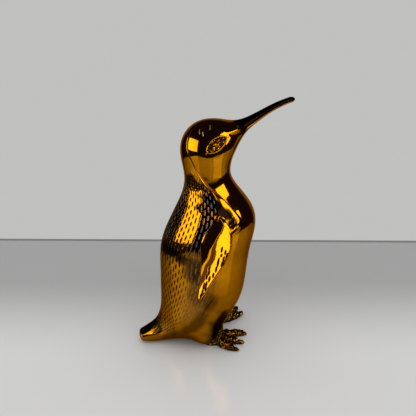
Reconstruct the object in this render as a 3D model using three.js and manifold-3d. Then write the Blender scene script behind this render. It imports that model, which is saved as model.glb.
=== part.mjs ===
// Standing penguin figurine in polished brass: a hollow body cast in two halves, with the bill,
// the flippers and the feet cast apart and brazed in. Millimetres, +Z up, the bird faces +X and
// its left side is +Y. The origin is the middle of the footprint of its bounding box.
import * as THREE from "three";
import { mergeVertices } from "three/addons/utils/BufferGeometryUtils.js";
import Module from "manifold-3d";

const wasm = await Module();
wasm.setup();

// Main sizes: how far the bird reaches from the origin, and how far it stands out to the sides
const HEIGHT = 280.9; // upper edge of the bill's tip
const BILL_REACH = 92.2; // lower edge of the bill's tip, ahead
const TAIL_REACH = 80.5; // upper edge of the tail's end, behind
const BELLY_HALF = 45.5; // half width of the broadest rib
const FLIPPER_TIP_STAND = 29.8; // outer face of the flipper's tip off the flank

// Walls and joints
const WALL = 3; // wall of the two hollow body castings
const CLEARANCE = 0.3; // braze gap round everything that seats in a socket
const BILL_SPIGOT_LENGTH = 11;
const BILL_SPIGOT_ROOT = 2; // how far the spigot starts inside the bill
const FLIPPER_PIN_RADIUS = 4;
const FLIPPER_PIN_DEPTH = 8; // how far the pin reaches in from the skin
const FLIPPER_PIN_ROOT = 1.5; // how far it starts out from the skin, inside the blade
const FLIPPER_PIN_AT = [4, 148]; // x, z of the pin on the flank
const LEG_SPIGOT_RADIUS = 5.5;
const LEG_SPIGOT_TOP = 33; // height that the spigot reaches inside the body
const LEG_SPIGOT_ROOT = 8; // height where it starts inside the leg

// The bird from the tail tip to the bill tip. Each station is a rib across the body: where it meets
// the outline of the back and the outline of the front (x, z), its half width, and how far its
// widest place leans from the middle towards the front.
const STATIONS = [
  { at: "tail end", back: [-TAIL_REACH, 15.2], front: [1.5 - TAIL_REACH, 1.2], half: 8.5, lean: 0.1 },
  { at: "tail", back: [8 - TAIL_REACH, 20], front: [12.5 - TAIL_REACH, -0.3], half: 11, lean: 0.15 },
  { at: "tail root", back: [-62.6, 27], front: [-54, 0.8], half: 15.8, lean: 0.12 },
  { at: "rump", back: [-57.4, 39.5], front: [-38, 2.6], half: 23.5, lean: 0.08 },
  { at: "vent", back: [-56, 53], front: [-17, 5.5], half: 33, lean: 0.06 },
  { at: "low belly", back: [-55.9, 69], front: [5.5, 12], half: 39.2, lean: 0.04 },
  { at: "loins", back: [-55.6, 86], front: [24.5, 29], half: 42.5, lean: 0.04 },
  { at: "belly", back: [-55.6, 101], front: [39, 55], half: BELLY_HALF - 0.5, lean: 0.04 },
  { at: "waist", back: [-54.6, 117], front: [44.5, 84], half: BELLY_HALF, lean: 0.04 },
  { at: "ribs", back: [-50.4, 133.5], front: [48.8, 115], half: BELLY_HALF - 0.5, lean: 0.03 },
  { at: "chest", back: [-43, 150], front: [54.5, 141], half: 42.5, lean: 0.02 },
  { at: "shoulders", back: [-35, 166], front: [51, 162], half: 36.4, lean: 0 },
  { at: "collar", back: [-28.5, 181.5], front: [38, 180.5], half: 26.1, lean: -0.02 },
  { at: "low neck", back: [-26.2, 197], front: [27, 195.5], half: 23.8, lean: -0.04 },
  { at: "neck", back: [-28.3, 211], front: [24.6, 206.5], half: 24.5, lean: 0.06 },
  { at: "nape", back: [-30.3, 225], front: [26.6, 216.5], half: 25.8, lean: 0.02 },
  { at: "back of head", back: [-27.8, 239.5], front: [30, 224.5], half: 25.3, lean: 0.035 },
  { at: "cheek", back: [-18.5, 252], front: [33, 230.5], half: 22.6, lean: 0.06 },
  { at: "crown", back: [-4, 258.6], front: [36, 235.8], half: 19.6, lean: 0.05 },
  { at: "brow", back: [12, 259], front: [39.2, 240.6], half: 15.6, lean: 0.03 },
  { at: "gape", back: [25.5, 257.2], front: [43, 244.8], half: 10.1, lean: 0.02 },
  { at: "bill root", back: [37, 258.4], front: [48, 249.2], half: 6.9, lean: 0 },
  { at: "bill third", back: [49, 262.9], front: [55.5, 254.8], half: 5.2, lean: 0 },
  {
    at: "bill middle",
    back: [BILL_REACH - 29.7, HEIGHT - 11.5],
    front: [BILL_REACH - 26.2, HEIGHT - 18.9],
    half: 4.3,
    lean: 0,
  },
  {
    at: "bill end third",
    back: [BILL_REACH - 14.7, HEIGHT - 4.7],
    front: [BILL_REACH - 12.7, HEIGHT - 11.5],
    half: 3.7,
    lean: 0,
  },
  {
    at: "bill end",
    back: [BILL_REACH - 1.2, HEIGHT],
    front: [BILL_REACH, HEIGHT - 6.3],
    half: 3.2,
    lean: 0,
  },
];
const TAIL_CAP = 3.5; // rounding past the tail end station
const BILL_CAP = 6; // rounding past the bill end station
const BILL_JOINT = "gape"; // station where the bill casting meets the head
const RIB_POINTS = 48;
const RIBS_PER_STATION = 3;
const HOLLOW_RIB_POINTS = 24;
const CAP_SHARES = [0.98, 0.8, 0.45]; // of a cap's length, where its rings lie, from the end in
const PLACE_HALVINGS = 40; // halvings that find the rib through a place on the flank

// Swelling of the thighs over the legs: a soft push outwards and down round one point a side
const THIGH = {
  centre: [-6, 26, 15],
  spread: [17, 16, 20],
  push: [1, 6, -11],
};

// Mouth groove along both sides of the bill
const MOUTH_ANGLE = THREE.MathUtils.degToRad(58); // round the rib from its front end
const MOUTH_HALF_ANGLE = THREE.MathUtils.degToRad(7);
const MOUTH_DEPTH = 0.6;
const BILL_RIB_DEGREES = [0, 25, 80, 105, 130, 155]; // corners of the bill's ribs beside the groove

// Eyes: a round eyeball in an almond hollow, on the side of the head
const EYE_AT = [6.5, 235.6]; // x, z
const EYEBALL_RADIUS = 3.2;
const EYEBALL_PROUD = 1.9; // height over the hollow's floor
const ALMOND_LENGTH = 22;
const ALMOND_WIDTH = 11;
const ALMOND_TILT = THREE.MathUtils.degToRad(33);
const ALMOND_DEPTH = 0.9;
const ALMOND_SIDES = 64; // sides of the two round cuts that meet in the almond

// Flipper: outline of the blade as pairs of points of its rear and its leading edge (x, z), and how
// far the outer face stands off the flank at each of the two. The blade lies on the shoulder and
// hangs away from the flank towards its tip.
const FLIPPER = [
  { rear: [3.6, 163.7], lead: [9, 159.6], stand: [1.8, 2] },
  { rear: [0, 159.5], lead: [12.7, 152.5], stand: [1.8, 2.3] },
  { rear: [-7, 150.3], lead: [16.4, 144], stand: [2.2, 2.9] },
  { rear: [-11.9, 143.7], lead: [16.7, 136.2], stand: [3.6, 3.8] },
  { rear: [-16.1, 137.1], lead: [15.4, 128.2], stand: [5.5, 5.4] },
  { rear: [-18.5, 131.1], lead: [12.4, 121.6], stand: [7.7, 7.3] },
  { rear: [-19, 122.3], lead: [7.6, 114.9], stand: [10.7, 9.5] },
  { rear: [-20, 114.7], lead: [1.8, 108.4], stand: [14.3, 12.1] },
  { rear: [-21.3, 106.5], lead: [-4.8, 101.4], stand: [18.2, 15.6] },
  {
    rear: [-22.8, 98.5],
    lead: [-11.7, 94.1],
    stand: [FLIPPER_TIP_STAND - 7.5, FLIPPER_TIP_STAND - 10],
  },
  {
    rear: [-24.5, 91.4],
    lead: [-17.8, 88.2],
    stand: [FLIPPER_TIP_STAND - 3.6, FLIPPER_TIP_STAND - 5.4],
  },
  {
    rear: [-25.6, 86.5],
    lead: [-22.8, 84.6],
    stand: [FLIPPER_TIP_STAND, FLIPPER_TIP_STAND - 1.1],
  },
];
const FLIPPER_THICKNESS = 3.6;
const FLIPPER_EDGE = 0.375; // share of the thickness by which each face falls at the edges
const FLIPPER_POINTS = 9; // points across one face of the blade
const FLIPPER_ROW_STEP = 0.5; // share of a row of the table between two rings of the blade

// Feet: ankle and toe tips on the ground (x, y), the left foot set ahead of the right one.
// bow is the sideways bulge of a toe's path at its middle.
const FEET = [
  {
    name: "right_foot",
    ankle: [5, -21],
    toes: [
      { tip: [44, -15.5], bow: 3.5 },
      { tip: [36, -33], bow: 0 },
      { tip: [26.5, -45.5], bow: -3.5 },
    ],
  },
  {
    name: "left_foot",
    ankle: [12.5, 18],
    toes: [
      { tip: [53.5, 32.5], bow: -4 },
      { tip: [50.5, 46], bow: -1 },
      { tip: [34, 50], bow: 1.5 },
    ],
  },
];
const TOE_ROOT_HALF = 6;
const TOE_END_HALF = 3.8;
const TOE_ROOT_HEIGHT = 13;
const TOE_END_HEIGHT = 7;
const TOE_MIDDLE = 0.36; // height of a toe's widest place, as a share of its height
const KNUCKLES = 3;
const KNUCKLE_SWELL = 0.1;
const CLAW_LENGTH = 7;
const WEB_REACH = 0.62; // share of the toes' length that the web fills
const WEB_HEIGHT = 4.5;
const HEEL_LENGTH = 9;
const LEG_BOTTOM_HALF = [9.5, 9]; // half sizes of the leg over the ankle, along x and y
const LEG_TOP_HALF = [8.5, 8.5];
const LEG_TOP = 27; // the body cuts the leg off below this height
const HEEL_LEVELS = [[0, 0.6], [4, 0.7], [10, 0.45]]; // height, share of the heel's length there
const LEG_WAIST = 16; // height where the leg is slim again over the heel
const LEG_SIDES = 20;
const TOE_SIDES = 12;
const CLAW_SIZE = 0.75; // of the toe's end
const CLAW_HEIGHT_LEFT = 0.3; // share of its height that a claw keeps at its very tip
const CLAW_SHARES = [0.05, 0.5, 0.8, 0.97]; // of a claw's length, where its rings lie

// Castings are brass; the feet keep a darker, rougher cast skin
const POLISHED = { color: 0xc8901f, roughness: 0.08, metalness: 1 };
const CAST_SKIN = { color: 0x7a5418, roughness: 0.32, metalness: 1 };

// Closed mesh to solid and back
function toSolid(geometry) {
  const plain = new THREE.BufferGeometry();
  plain.setAttribute("position", geometry.getAttribute("position").clone());
  if (geometry.index) plain.setIndex(geometry.index.clone());
  const merged = mergeVertices(plain, 1e-4);
  const mesh = new wasm.Mesh({
    numProp: 3,
    vertProperties: new Float32Array(merged.attributes.position.array),
    triVerts: new Uint32Array(merged.index.array),
  });
  return new wasm.Manifold(mesh);
}

function toGeometry(solid) {
  const mesh = solid.getMesh();
  const geometry = new THREE.BufferGeometry();
  geometry.setAttribute("position", new THREE.BufferAttribute(mesh.vertProperties, 3));
  geometry.setIndex(new THREE.BufferAttribute(mesh.triVerts, 1));
  geometry.computeVertexNormals();
  return geometry;
}

function named(name, solid, finish) {
  const mesh = new THREE.Mesh(toGeometry(solid), new THREE.MeshStandardMaterial(finish));
  mesh.name = name;
  return mesh;
}

// Solid through rings of equally many points, closed by a fan at each end
function loft(rings) {
  const around = rings[0].length;
  const points = rings.flat();
  const faces = [];
  for (let i = 0; i + 1 < rings.length; i += 1) {
    for (let j = 0; j < around; j += 1) {
      const a = i * around + j;
      const b = i * around + ((j + 1) % around);
      faces.push(a, b, b + around, a, b + around, a + around);
    }
  }
  for (const [ring, turned] of [[0, true], [rings.length - 1, false]]) {
    const middle = new THREE.Vector3();
    rings[ring].forEach((p) => middle.addScaledVector(p, 1 / around));
    points.push(middle);
    for (let j = 0; j < around; j += 1) {
      const a = ring * around + j;
      const b = ring * around + ((j + 1) % around);
      faces.push(points.length - 1, turned ? b : a, turned ? a : b);
    }
  }
  if (signedVolume(points, faces) < 0) faces.reverse();
  const geometry = new THREE.BufferGeometry().setFromPoints(points);
  geometry.setIndex(faces);
  return toSolid(geometry);
}

function signedVolume(points, faces) {
  let sum = 0;
  for (let i = 0; i < faces.length; i += 3) {
    const [a, b, c] = [points[faces[i]], points[faces[i + 1]], points[faces[i + 2]]];
    sum += a.dot(b.clone().cross(c));
  }
  return sum;
}

function box(low, high) {
  const size = high.map((value, i) => value - low[i]);
  const geometry = new THREE.BoxGeometry(...size);
  geometry.translate(...low.map((value, i) => value + size[i] / 2));
  return toSolid(geometry);
}

// Round bar from one point to another
function bar(from, to, radius, sides = 20) {
  const start = new THREE.Vector3(...from);
  const along = new THREE.Vector3(...to).sub(start);
  const geometry = new THREE.CylinderGeometry(radius, radius, along.length(), sides);
  geometry.translate(0, along.length() / 2, 0);
  const up = new THREE.Vector3(0, 1, 0);
  geometry.applyQuaternion(new THREE.Quaternion().setFromUnitVectors(up, along.normalize()));
  geometry.translate(...from);
  return toSolid(geometry);
}

// Natural cubic curve through values set at given distances, as a function of the distance
function smoothCurve(at, values) {
  const last = at.length - 1;
  const step = at.slice(1).map((value, i) => value - at[i]);
  const slope = values.slice(1).map((value, i) => (value - values[i]) / step[i]);
  const bend = new Array(at.length).fill(0);
  const share = new Array(at.length).fill(0);
  for (let i = 1; i < last; i += 1) {
    const pivot = 2 * (step[i - 1] + step[i]) - step[i - 1] * share[i - 1];
    share[i] = step[i] / pivot;
    bend[i] = (6 * (slope[i] - slope[i - 1]) - step[i - 1] * bend[i - 1]) / pivot;
  }
  for (let i = last - 1; i > 0; i -= 1) bend[i] -= share[i] * bend[i + 1];
  return (x) => {
    let i = at.findIndex((value) => value > x) - 1;
    if (i < 0) i = x <= at[0] ? 0 : last - 1;
    const a = (at[i + 1] - x) / step[i];
    const b = (x - at[i]) / step[i];
    const curve = (a ** 3 - a) * bend[i] + (b ** 3 - b) * bend[i + 1];
    return a * values[i] + b * values[i + 1] + (curve * step[i] ** 2) / 6;
  };
}

// Trunk: the surface that the ribs make, from the tail through the head to the bill
const stationAt = [0];
for (let i = 1; i < STATIONS.length; i += 1) {
  const middle = (s) => s.back.map((value, axis) => (value + s.front[axis]) / 2);
  const [x0, z0] = middle(STATIONS[i - 1]);
  const [x1, z1] = middle(STATIONS[i]);
  stationAt.push(stationAt[i - 1] + Math.hypot(x1 - x0, z1 - z0));
}
const trunkEnd = stationAt[stationAt.length - 1];
const billJoint = stationAt[STATIONS.findIndex((s) => s.at === BILL_JOINT)];
const curveOf = (pick) => smoothCurve(stationAt, STATIONS.map(pick));
const outline = {
  backX: curveOf((s) => s.back[0]),
  backZ: curveOf((s) => s.back[1]),
  frontX: curveOf((s) => s.front[0]),
  frontZ: curveOf((s) => s.front[1]),
  half: curveOf((s) => s.half),
  lean: curveOf((s) => s.lean),
};

// Rib at a distance along the trunk; past either end it shrinks to round the end off
function rib(distance) {
  const t = THREE.MathUtils.clamp(distance, 0, trunkEnd);
  const back = new THREE.Vector2(outline.backX(t), outline.backZ(t));
  const front = new THREE.Vector2(outline.frontX(t), outline.frontZ(t));
  const across = front.clone().sub(back);
  const reach = across.length() / 2;
  across.normalize();
  const along = new THREE.Vector2(-across.y, across.x);
  const past = distance - t;
  const share = past < 0 ? past / TAIL_CAP : past / BILL_CAP;
  const shrink = Math.sqrt(Math.max(0, 1 - share * share));
  const centre = back.clone().add(front).multiplyScalar(0.5).addScaledVector(along, past);
  return {
    centre,
    across,
    along,
    reach: reach * shrink,
    half: outline.half(t) * shrink,
    lean: outline.lean(t),
  };
}

// Point of the trunk's skin moved out by grow; angle 0 is the front end of the rib
function skinPoint(distance, angle, grow = 0) {
  const { centre, across, reach, half, lean } = rib(distance);
  const out = (reach + grow) * Math.cos(angle);
  const y = (half + grow) * Math.sin(angle) * (1 + lean * Math.cos(angle));
  return swellThigh(new THREE.Vector3(centre.x + across.x * out, y, centre.y + across.y * out));
}

function swellThigh(point) {
  const moved = point.clone();
  for (const side of [-1, 1]) {
    const reach =
      ((point.x - THIGH.centre[0]) / THIGH.spread[0]) ** 2 +
      ((point.y - side * THIGH.centre[1]) / THIGH.spread[1]) ** 2 +
      ((point.z - THIGH.centre[2]) / THIGH.spread[2]) ** 2;
    const push = new THREE.Vector3(THIGH.push[0], side * THIGH.push[1], THIGH.push[2]);
    moved.addScaledVector(push, Math.exp(-reach));
  }
  return moved;
}

// Place on the flank at x, z: the distance along the trunk and the angle round its rib
function flankPlace(x, z) {
  let low = 0;
  let high = billJoint;
  const aheadOf = ({ centre, along }) => along.dot(new THREE.Vector2(x, z).sub(centre)) > 0;
  for (let i = 0; i < PLACE_HALVINGS; i += 1) {
    const middle = (low + high) / 2;
    if (aheadOf(rib(middle))) low = middle;
    else high = middle;
  }
  const { centre, across, reach } = rib(low);
  const share = across.dot(new THREE.Vector2(x, z).sub(centre)) / reach;
  return { distance: low, angle: Math.acos(THREE.MathUtils.clamp(share, -1, 1)) };
}

// How far the flank stands off the middle plane at x, z
function flankAt(x, z) {
  const { distance, angle } = flankPlace(x, z);
  const { half, lean } = rib(distance);
  return half * Math.sin(angle) * (1 + lean * Math.cos(angle));
}

// Distances of the ribs between two places: every station and an even split between stations
function ribDistances(from, to, perStation) {
  const list = [from];
  for (let i = 0; i + 1 < stationAt.length; i += 1) {
    for (let k = 0; k < perStation; k += 1) {
      const d = THREE.MathUtils.lerp(stationAt[i], stationAt[i + 1], k / perStation);
      if (d > from + 0.5 && d < to - 0.5) list.push(d);
    }
  }
  return [...list, to];
}

// Rings that round an end off, from the nearly closed one to the full one
function capDistances(end, length) {
  return CAP_SHARES.map((share) => end + share * length);
}

function trunkSolid(distances, grow, count = RIB_POINTS) {
  const ring = (distance) =>
    Array.from({ length: count }, (_, j) => skinPoint(distance, (2 * Math.PI * j) / count, grow));
  return loft(distances.map(ring));
}

// Eye: almond hollow and the eyeball in it, for one side
function eyeCut(side, keep) {
  const radius = (ALMOND_LENGTH ** 2 + ALMOND_WIDTH ** 2) / (4 * ALMOND_WIDTH);
  const shift = radius - ALMOND_WIDTH / 2;
  const [x, z] = EYE_AT;
  const depth = flankAt(x, z);
  const disc = (sign) => {
    const cx = x - sign * shift * Math.sin(ALMOND_TILT);
    const cz = z + sign * shift * Math.cos(ALMOND_TILT);
    const from = [cx, side * (depth - 2 * WALL), cz];
    const to = [cx, side * (depth + WALL), cz];
    return bar(from, to, radius, ALMOND_SIDES);
  };
  return disc(1).intersect(disc(-1)).subtract(keep);
}

function eyeball(side) {
  const { distance, angle } = flankPlace(...EYE_AT);
  const sunk = ALMOND_DEPTH - EYEBALL_PROUD + EYEBALL_RADIUS;
  const centre = skinPoint(distance, side * angle, -sunk);
  const geometry = new THREE.SphereGeometry(EYEBALL_RADIUS, 16, 12);
  geometry.translate(...centre.toArray());
  return toSolid(geometry);
}

// Half of the hollow body, open at the middle plane where it is brazed to the other half
function bodyShell(side, parts) {
  const [x0, z0] = FLIPPER_PIN_AT;
  const foot = FEET.find(({ ankle }) => Math.sign(ankle[1]) === side);
  const pinHole = bar(
    [x0, side * (flankAt(x0, z0) - FLIPPER_PIN_DEPTH - CLEARANCE), z0],
    [x0, side * (flankAt(x0, z0) + WALL), z0],
    FLIPPER_PIN_RADIUS + CLEARANCE,
  );
  const legHole = bar(
    [...foot.ankle, 0],
    [...foot.ankle, LEG_SPIGOT_TOP + CLEARANCE],
    LEG_SPIGOT_RADIUS + CLEARANCE,
  );
  const far = HEIGHT + BILL_REACH + TAIL_REACH;
  const own = side > 0 ? box([-far, 0, 0], [far, far, far]) : box([-far, -far, 0], [far, 0, far]);
  return parts.skin
    .intersect(own)
    .subtract(parts.hollow)
    .subtract(eyeCut(side, parts.eyeFloor))
    .add(eyeball(side))
    .subtract(pinHole)
    .subtract(legHole);
}

// Bill: solid, with the mouth groove in its sides and a spigot that plugs into the head
function bill() {
  const start = billJoint + CLEARANCE;
  const notch = [-1, 0, 1].map((k) => ({
    angle: MOUTH_ANGLE + k * MOUTH_HALF_ANGLE,
    depth: k === 0 ? MOUTH_DEPTH : 0,
  }));
  const plain = BILL_RIB_DEGREES.map((degrees) => ({
    angle: THREE.MathUtils.degToRad(degrees),
    depth: 0,
  }));
  const half = [...plain, ...notch].sort((p, q) => p.angle - q.angle);
  const mirrored = half
    .slice(1)
    .reverse()
    .map(({ angle, depth }) => ({ angle: -angle, depth }));
  const round = [...half, { angle: Math.PI, depth: 0 }, ...mirrored];
  const distances = [
    ...ribDistances(start, trunkEnd, RIBS_PER_STATION),
    ...capDistances(trunkEnd, BILL_CAP).reverse(),
  ];
  const ring = (distance) => {
    const fade = Math.min(1, Math.max(0, (trunkEnd - distance) / BILL_CAP));
    return round.map(({ angle, depth }) => skinPoint(distance, angle, -depth * fade));
  };
  const root = rib(billJoint);
  const radius = Math.min(root.reach, root.half) - WALL - CLEARANCE;
  const place = (offset) => {
    const at = root.centre.clone().addScaledVector(root.along, offset);
    return [at.x, 0, at.y];
  };
  const spigot = bar(place(-BILL_SPIGOT_LENGTH), place(BILL_SPIGOT_ROOT), radius);
  return loft(distances.map(ring)).add(spigot);
}

// Flipper: blade curved like the flank, standing off it as its table says, with its pin
function flipper(side) {
  const rows = FLIPPER.map(({ rear, lead, stand }) => [...rear, ...lead, ...stand]);
  const order = rows.map((_, i) => i);
  const edge = rows[0].map((_, k) => smoothCurve(order, rows.map((row) => row[k])));
  const blade = [];
  for (let s = 0; s <= order.length - 1; s += FLIPPER_ROW_STEP) {
    const [rearX, rearZ, leadX, leadZ, rearStand, leadStand] = edge.map((curve) => curve(s));
    const face = (outer) =>
      Array.from({ length: FLIPPER_POINTS }, (_, j) => {
        const u = 0.5 - 0.5 * Math.cos((Math.PI * j) / (FLIPPER_POINTS - 1));
        const x = THREE.MathUtils.lerp(rearX, leadX, u);
        const z = THREE.MathUtils.lerp(rearZ, leadZ, u);
        const stand = THREE.MathUtils.lerp(rearStand, leadStand, u);
        const under = Math.max(CLEARANCE, stand - FLIPPER_THICKNESS);
        const fall = FLIPPER_EDGE * (1 - Math.sqrt(4 * u * (1 - u))) * (stand - under);
        const off = outer ? stand - fall : under + fall;
        return new THREE.Vector3(x, side * (flankAt(x, z) + off), z);
      });
    blade.push([...face(true), ...face(false).reverse()]);
  }
  const [x, z] = FLIPPER_PIN_AT;
  const skin = flankAt(x, z);
  const pin = bar(
    [x, side * (skin - FLIPPER_PIN_DEPTH), z],
    [x, side * (skin + FLIPPER_PIN_ROOT), z],
    FLIPPER_PIN_RADIUS,
  );
  return loft(blade).add(pin);
}

// Toe: a tapering finger with knuckles from the ankle to its tip, ending in a claw
function toe(ankle, { tip, bow }) {
  const from = new THREE.Vector2(...ankle);
  const to = new THREE.Vector2(...tip);
  const along = to.clone().sub(from);
  const length = along.length();
  along.normalize();
  const aside = new THREE.Vector2(-along.y, along.x);
  const body = length - CLAW_LENGTH;
  const rings = [];
  const addRing = (distance, half, top) => {
    const share = distance / length;
    const centre = from.clone().addScaledVector(along, distance);
    centre.addScaledVector(aside, 4 * bow * share * (1 - share));
    rings.push(
      Array.from({ length: TOE_SIDES }, (_, j) => {
        const angle = (2 * Math.PI * j) / TOE_SIDES;
        const out = centre.clone().addScaledVector(aside, half * Math.cos(angle));
        const z = top * (TOE_MIDDLE + (1 - TOE_MIDDLE) * Math.sin(angle));
        return new THREE.Vector3(out.x, out.y, Math.max(0, z));
      }),
    );
  };
  const steps = KNUCKLES * 4;
  for (let i = 0; i <= steps; i += 1) {
    const share = i / steps;
    const swell = 1 - KNUCKLE_SWELL * Math.cos(2 * Math.PI * KNUCKLES * share);
    const half = THREE.MathUtils.lerp(TOE_ROOT_HALF, TOE_END_HALF, share) * swell;
    const top = THREE.MathUtils.lerp(TOE_ROOT_HEIGHT, TOE_END_HEIGHT, share) * swell;
    addRing(share * body, half, top);
  }
  for (const share of CLAW_SHARES) {
    const round = Math.sqrt(1 - share * share);
    addRing(
      body + share * CLAW_LENGTH,
      TOE_END_HALF * CLAW_SIZE * round,
      TOE_END_HEIGHT * CLAW_SIZE * THREE.MathUtils.lerp(CLAW_HEIGHT_LEFT, 1, round),
    );
  }
  return loft(rings);
}

// Web that fills the angle between two toes
function web(ankle, first, second) {
  const reach = (tip) => ankle.map((value, axis) => value + (tip[axis] - value) * WEB_REACH);
  const shape = new THREE.Shape();
  shape.moveTo(...ankle);
  shape.lineTo(...reach(first.tip));
  shape.lineTo(...reach(second.tip));
  shape.closePath();
  return toSolid(
    new THREE.ExtrudeGeometry(shape, { depth: WEB_HEIGHT, bevelEnabled: false }),
  );
}

// Leg over the ankle: an oval post that swells into the heel
function leg(ankle) {
  const level = (z, half, back) =>
    Array.from({ length: LEG_SIDES }, (_, j) => {
      const angle = (2 * Math.PI * j) / LEG_SIDES;
      const out = Math.cos(angle);
      const x = ankle[0] + out * (half[0] + (out < 0 ? back : 0));
      return new THREE.Vector3(x, ankle[1] + Math.sin(angle) * half[1], z);
    });
  return loft([
    ...HEEL_LEVELS.map(([z, share]) => level(z, LEG_BOTTOM_HALF, HEEL_LENGTH * share)),
    level(LEG_WAIST, LEG_TOP_HALF, 0),
    level(LEG_TOP, LEG_TOP_HALF, 0),
  ]);
}

// Foot: leg, toes and webs in one casting, flat underneath, with the spigot into the body
function foot({ ankle, toes }, keepOut) {
  let solid = leg(ankle);
  toes.forEach((one) => {
    solid = solid.add(toe(ankle, one));
  });
  for (let i = 0; i + 1 < toes.length; i += 1) {
    solid = solid.add(web(ankle, toes[i], toes[i + 1]));
  }
  const spigot = bar([...ankle, LEG_SPIGOT_ROOT], [...ankle, LEG_SPIGOT_TOP], LEG_SPIGOT_RADIUS);
  return solid.subtract(keepOut).add(spigot);
}

function figurine() {
  const tail = capDistances(0, -TAIL_CAP);
  const skinTo = (end, grow) =>
    trunkSolid([...tail, ...ribDistances(0, end, RIBS_PER_STATION)], grow);
  const parts = {
    skin: skinTo(billJoint, 0),
    hollow: trunkSolid(ribDistances(0, billJoint + 1, 1), -WALL, HOLLOW_RIB_POINTS),
    eyeFloor: skinTo(billJoint, -ALMOND_DEPTH),
  };
  const keepOut = skinTo(billJoint, CLEARANCE);
  const group = new THREE.Group();
  group.add(named("body_right_shell", bodyShell(-1, parts), POLISHED));
  group.add(named("body_left_shell", bodyShell(1, parts), POLISHED));
  group.add(named("bill", bill(), POLISHED));
  group.add(named("right_flipper", flipper(-1), POLISHED));
  group.add(named("left_flipper", flipper(1), POLISHED));
  FEET.forEach((one) => group.add(named(one.name, foot(one, keepOut), CAST_SKIN)));
  const bounds = new THREE.Box3().setFromObject(group);
  const middle = bounds.getCenter(new THREE.Vector3());
  group.position.set(-middle.x, -middle.y, -bounds.min.z);
  return group;
}

export default figurine();
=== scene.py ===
# Looks of the standing brass penguin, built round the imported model.
# Local measures are millimetres with the tail behind x = 0, as the castings are drawn; the last
# step to the frame is one shift along x and the change to metres.
import math

import bpy
import numpy as np
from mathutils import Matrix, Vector


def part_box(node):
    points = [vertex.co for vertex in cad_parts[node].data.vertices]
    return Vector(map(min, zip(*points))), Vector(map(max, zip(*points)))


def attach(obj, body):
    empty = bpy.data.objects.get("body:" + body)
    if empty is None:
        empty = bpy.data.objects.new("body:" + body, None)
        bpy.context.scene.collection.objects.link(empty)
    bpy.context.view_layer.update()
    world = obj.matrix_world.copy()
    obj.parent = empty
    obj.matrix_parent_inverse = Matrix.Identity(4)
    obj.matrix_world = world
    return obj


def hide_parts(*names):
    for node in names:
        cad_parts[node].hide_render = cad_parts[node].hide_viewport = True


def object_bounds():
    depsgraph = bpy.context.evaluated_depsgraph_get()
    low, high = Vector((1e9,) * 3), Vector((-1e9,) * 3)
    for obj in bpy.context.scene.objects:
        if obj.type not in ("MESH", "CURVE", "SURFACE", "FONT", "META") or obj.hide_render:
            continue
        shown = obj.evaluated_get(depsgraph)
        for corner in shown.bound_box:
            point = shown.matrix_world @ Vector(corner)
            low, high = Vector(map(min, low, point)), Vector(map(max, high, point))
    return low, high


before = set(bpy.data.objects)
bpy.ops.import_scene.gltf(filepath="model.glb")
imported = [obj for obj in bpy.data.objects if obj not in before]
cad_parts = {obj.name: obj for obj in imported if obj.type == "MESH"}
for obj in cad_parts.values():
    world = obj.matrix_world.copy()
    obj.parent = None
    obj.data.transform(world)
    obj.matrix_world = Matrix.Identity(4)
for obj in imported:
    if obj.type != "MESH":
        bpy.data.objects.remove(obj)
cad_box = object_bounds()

MM = 0.001


# Small helpers
def unit(v):
    return v / np.maximum(np.linalg.norm(v, axis=-1, keepdims=True), 1e-9)


def ramp(x, start, end):
    """Smooth change from 0 at start to 1 at end, which may be the lower of the two."""
    share = np.clip((x - start) / (end - start), 0, 1)
    return share * share * (3 - 2 * share)


def read_table(table, x):
    return np.interp(x, *np.transpose(table))


def bell(x):
    return np.exp(-(x**2))


def wobble(points, scale, seed):
    """Smooth pseudo-random waviness between -1 and 1 from a few summed sine waves."""
    count, slowest, fastest, calm = 9, 0.6, 1.5, 4
    draw = np.random.default_rng(seed)
    total = np.zeros(points.shape[:-1])
    for _ in range(count):
        direction = unit(draw.normal(size=3))
        total += np.sin(points @ direction * 2 * math.pi / scale * draw.uniform(slowest, fastest)
                        + draw.uniform(0, 2 * math.pi))
    return total / calm


def shares_along(u, v, on_u, on_v):
    """Shares of directions u and v in the vector whose products with them are on_u and on_v."""
    e, f, g = (u * u).sum(-1), (u * v).sum(-1), (v * v).sum(-1)
    det = np.maximum(e * g - f * f, 1e-9)
    return (g * on_u - f * on_v) / det, (e * on_v - f * on_u) / det


def waves(points, parts):
    """Sum of wobbles, each with its height, scale and seed."""
    return sum(height * wobble(points, scale, seed) for height, scale, seed in parts)


def natural_curve(at, values):
    """Natural cubic curve through values at given distances, as a function of an array."""
    step = np.diff(at)
    count = len(at)
    matrix = np.eye(count)
    right = np.zeros(count)
    for i in range(1, count - 1):
        matrix[i, i - 1 : i + 2] = step[i - 1], 2 * (step[i - 1] + step[i]), step[i]
        slopes = np.diff(values[i - 1 : i + 2]) / step[i - 1 : i + 1]
        right[i] = 6 * (slopes[1] - slopes[0])
    bend = np.linalg.solve(matrix, right)

    def curve(x):
        i = np.clip(np.searchsorted(at, x, side="right") - 1, 0, count - 2)
        a = (at[i + 1] - x) / step[i]
        b = (x - at[i]) / step[i]
        bow = (a**3 - a) * bend[i] + (b**3 - b) * bend[i + 1]
        return a * values[i] + b * values[i + 1] + bow * step[i] ** 2 / 6

    return curve


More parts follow.
